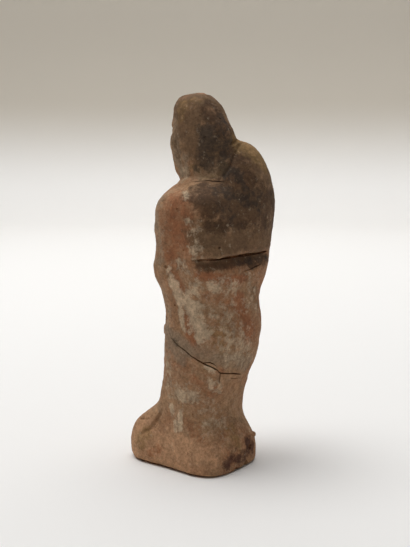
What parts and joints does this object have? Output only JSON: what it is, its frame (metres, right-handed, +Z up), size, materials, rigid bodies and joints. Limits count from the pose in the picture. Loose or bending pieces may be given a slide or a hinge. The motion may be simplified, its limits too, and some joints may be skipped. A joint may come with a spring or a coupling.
{
  "type": "terracotta figurine",
  "caption": "Small solid fired-clay standing figure, hooded and hump-backed, in a short cape over a long tunic, on a low base made in one with it.",
  "frame": {"origin": "centre of the figure's box on the ground, in the plane of its underside", "axes": "+Z up through the head; the figure faces -Y and its own left side is +X"},
  "size_m": [0.0406, 0.042, 0.12],
  "materials": {
    "terracotta": "unglazed fired clay, worn, with soot and remains of white slip"
  },
  "bodies": {
    "root": {"hooded_figure": "terracotta"}
  },
  "joints": []
}
